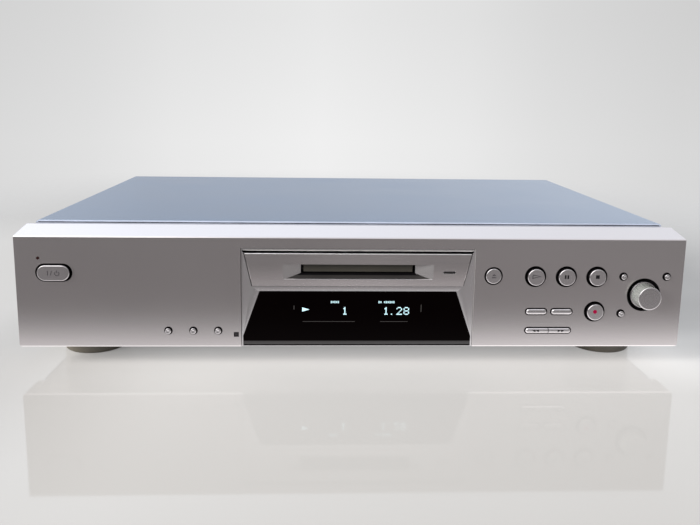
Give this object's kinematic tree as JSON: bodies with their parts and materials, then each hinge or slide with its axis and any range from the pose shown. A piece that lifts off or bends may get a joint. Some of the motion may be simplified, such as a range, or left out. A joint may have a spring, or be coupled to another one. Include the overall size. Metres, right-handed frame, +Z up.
{
  "type": "minidisc deck",
  "caption": "Full-width silver disc recorder deck with a small front slot for cartridges, a black display window, push buttons and a jog knob.",
  "frame": {"origin": "On the surface it stands on, under the middle of the whole deck's box.", "axes": "+X to the deck's right as seen from the front, -Y out of the front panel, +Z up."},
  "size_m": [0.43, 0.2828, 0.0938],
  "materials": {
    "fascia_silver": "satin metallic silver paint on moulded plastic",
    "frame_silver": "pale satin metallic silver",
    "window_black": "gloss near-black tinted window",
    "lamp_red": "dark red lens, unlit",
    "lamp_dark": "dark lens, unlit",
    "door_grey": "dark warm grey plastic",
    "spring_steel": "plain spring wire",
    "button_silver": "satin metallic silver",
    "knob_silver": "satin with bright edges",
    "shaft_steel": "turned steel",
    "plastic_ivory": "natural moulded plastic",
    "plastic_black": "black moulded plastic",
    "board_green": "lacquered circuit board",
    "tube_glass": "smoked flat glass",
    "cover_paint": "satin blue-silver paint",
    "sheet_steel": "plated sheet steel",
    "foot_plastic": "dark olive grey plastic",
    "screw_steel": "dark plated steel",
    "jack_plate": "plated shell",
    "coil_tape": "wound coil under yellow tape",
    "core_steel": "varnished laminations",
    "cable_white": "flat ribbon cable"
  },
  "bodies": {
    "cabinet": {"front_panel": "fascia_silver", "centre_frame": "frame_silver", "slot_panel": "fascia_silver", "display_window": "window_black", "standby_lamp": "lamp_red", "disc_lamp": "lamp_dark", "door_spring": "spring_steel", "knob_encoder": "plastic_black", "front_board": "board_green", "switch_set": "plastic_black", "display_tube": "tube_glass", "top_cover": "cover_paint", "chassis": "sheet_steel", "rear_panel": "sheet_steel", "foot_front_left": "foot_plastic", "foot_front_right": "foot_plastic", "foot_rear_left": "foot_plastic", "foot_rear_right": "foot_plastic", "screws": "screw_steel", "jack_block": "plastic_black", "jack_shells": "jack_plate", "optical_sockets": "plastic_black", "cord_gland": "plastic_black", "main_board": "board_green", "transformer_core": "core_steel", "transformer_coil": "coil_tape", "mech_frame": "sheet_steel", "loading_motor": "shaft_steel", "spindle_motor": "shaft_steel", "guide_rod": "shaft_steel", "sled_motor": "shaft_steel", "ribbon_cable": "cable_white"},
    "door": {"slot_door": "door_grey"},
    "power_button": {"power_button": "button_silver"},
    "mode_button": {"mode_button": "button_silver"},
    "repeat_button": {"repeat_button": "button_silver"},
    "scroll_button": {"scroll_button": "button_silver"},
    "eject_button": {"eject_button": "button_silver"},
    "play_button": {"play_button": "button_silver"},
    "pause_button": {"pause_button": "button_silver"},
    "stop_button": {"stop_button": "button_silver"},
    "record_button": {"record_button": "button_silver"},
    "menu_button": {"menu_button": "button_silver"},
    "enter_button": {"enter_button": "button_silver"},
    "clear_button": {"clear_button": "button_silver"},
    "input_button": {"input_button": "button_silver"},
    "rec_mode_button": {"rec_mode_button": "button_silver"},
    "rewind_button": {"rewind_button": "button_silver"},
    "forward_button": {"forward_button": "button_silver"},
    "jog": {"jog_knob": "knob_silver", "knob_shaft": "shaft_steel"},
    "encoder_rotor": {"encoder_rotor": "plastic_ivory"},
    "holder": {"cartridge_holder": "sheet_steel"},
    "cam": {"slide_cam": "plastic_ivory"},
    "drive_gear": {"drive_gear": "plastic_ivory"},
    "motor_pinion": {"motor_pinion": "plastic_ivory"},
    "turntable": {"turntable": "plastic_ivory"},
    "sled": {"pickup_sled": "plastic_black"},
    "lead_screw": {"lead_screw": "shaft_steel"},
    "head_arm": {"head_arm": "shaft_steel"}
  },
  "joints": [
    {"name": "power_press", "type": "slide", "parent": "cabinet", "child": "power_button", "axis": [0, 1, 0], "range_m": [0, 0.0008], "stiffness_N_per_m": 600, "springref_m": -0.0004},
    {"name": "mode_press", "type": "slide", "parent": "cabinet", "child": "mode_button", "axis": [0, 1, 0], "range_m": [0, 0.0008], "stiffness_N_per_m": 500, "springref_m": -0.0004},
    {"name": "repeat_press", "type": "slide", "parent": "cabinet", "child": "repeat_button", "axis": [0, 1, 0], "range_m": [0, 0.0008], "stiffness_N_per_m": 500, "springref_m": -0.0004},
    {"name": "scroll_press", "type": "slide", "parent": "cabinet", "child": "scroll_button", "axis": [0, 1, 0], "range_m": [0, 0.0008], "stiffness_N_per_m": 500, "springref_m": -0.0004},
    {"name": "eject_press", "type": "slide", "parent": "cabinet", "child": "eject_button", "axis": [0, 1, 0], "range_m": [0, 0.0008], "stiffness_N_per_m": 600, "springref_m": -0.0004},
    {"name": "play_press", "type": "slide", "parent": "cabinet", "child": "play_button", "axis": [0, 1, 0], "range_m": [0, 0.0008], "stiffness_N_per_m": 600, "springref_m": -0.0004},
    {"name": "pause_press", "type": "slide", "parent": "cabinet", "child": "pause_button", "axis": [0, 1, 0], "range_m": [0, 0.0008], "stiffness_N_per_m": 600, "springref_m": -0.0004},
    {"name": "stop_press", "type": "slide", "parent": "cabinet", "child": "stop_button", "axis": [0, 1, 0], "range_m": [0, 0.0008], "stiffness_N_per_m": 600, "springref_m": -0.0004},
    {"name": "record_press", "type": "slide", "parent": "cabinet", "child": "record_button", "axis": [0, 1, 0], "range_m": [0, 0.0008], "stiffness_N_per_m": 600, "springref_m": -0.0004},
    {"name": "menu_press", "type": "slide", "parent": "cabinet", "child": "menu_button", "axis": [0, 1, 0], "range_m": [0, 0.0008], "stiffness_N_per_m": 500, "springref_m": -0.0004},
    {"name": "enter_press", "type": "slide", "parent": "cabinet", "child": "enter_button", "axis": [0, 1, 0], "range_m": [0, 0.0008], "stiffness_N_per_m": 500, "springref_m": -0.0004},
    {"name": "clear_press", "type": "slide", "parent": "cabinet", "child": "clear_button", "axis": [0, 1, 0], "range_m": [0, 0.0008], "stiffness_N_per_m": 500, "springref_m": -0.0004},
    {"name": "input_press", "type": "slide", "parent": "cabinet", "child": "input_button", "axis": [0, 1, 0], "range_m": [0, 0.0008], "stiffness_N_per_m": 500, "springref_m": -0.0004},
    {"name": "rec_mode_press", "type": "slide", "parent": "cabinet", "child": "rec_mode_button", "axis": [0, 1, 0], "range_m": [0, 0.0008], "stiffness_N_per_m": 500, "springref_m": -0.0004},
    {"name": "rewind_press", "type": "slide", "parent": "cabinet", "child": "rewind_button", "axis": [0, 1, 0], "range_m": [0, 0.0008], "stiffness_N_per_m": 500, "springref_m": -0.0004},
    {"name": "forward_press", "type": "slide", "parent": "cabinet", "child": "forward_button", "axis": [0, 1, 0], "range_m": [0, 0.0008], "stiffness_N_per_m": 500, "springref_m": -0.0004},
    {"name": "jog_turn", "type": "hinge", "parent": "cabinet", "child": "encoder_rotor", "pos_m": [0.1895, -0.1254, 0.0516], "axis": [0, 1, 0], "continuous": true},
    {"name": "jog_press", "type": "slide", "parent": "encoder_rotor", "child": "jog", "axis": [0, 1, 0], "range_m": [0, 0.0008], "stiffness_N_per_m": 900, "springref_m": -0.0004},
    {"name": "door_swing", "type": "hinge", "parent": "cabinet", "child": "door", "pos_m": [0.0018, -0.1254, 0.072], "axis": [1, 0, 0], "range_deg": [0, 85], "stiffness_Nm_per_rad": 0.004, "springref_deg": -17.19},
    {"name": "loading_slide", "type": "slide", "parent": "cabinet", "child": "cam", "axis": [0, 1, 0], "range_m": [-0.012, 0]},
    {"name": "holder_lift", "type": "slide", "parent": "cabinet", "child": "holder", "axis": [0, 0, 1], "range_m": [-0.0045, 0]},
    {"name": "gear_turn", "type": "hinge", "parent": "cabinet", "child": "drive_gear", "pos_m": [0.0418, -0.068, 0.048], "axis": [1, 0, 0], "range_deg": [0, 69]},
    {"name": "pinion_turn", "type": "hinge", "parent": "cabinet", "child": "motor_pinion", "pos_m": [0.0418, -0.053, 0.04], "axis": [1, 0, 0], "range_deg": [-99, 0]},
    {"name": "disc_spin", "type": "hinge", "parent": "cabinet", "child": "turntable", "pos_m": [0.0018, -0.0805, 0.0585], "axis": [0, 0, 1], "continuous": true},
    {"name": "sled_travel", "type": "slide", "parent": "cabinet", "child": "sled", "axis": [1, 0, 0], "range_m": [0, 0.015]},
    {"name": "screw_turn", "type": "hinge", "parent": "cabinet", "child": "lead_screw", "pos_m": [0.0018, -0.0955, 0.057], "axis": [1, 0, 0], "range_deg": [0, 2701]},
    {"name": "head_lower", "type": "hinge", "parent": "cabinet", "child": "head_arm", "pos_m": [0.0218, -0.035, 0.074], "axis": [1, 0, 0], "range_deg": [0, 8], "stiffness_Nm_per_rad": 0.05, "springref_deg": -6.88}
  ],
  "couplings": [
    {"joint": "holder_lift", "follows": "loading_slide", "ratio": 0.375},
    {"joint": "gear_turn", "follows": "loading_slide", "rad_per_m": -100},
    {"joint": "pinion_turn", "follows": "loading_slide", "rad_per_m": 142.86},
    {"joint": "screw_turn", "follows": "sled_travel", "rad_per_m": 3141.6}
  ]
}
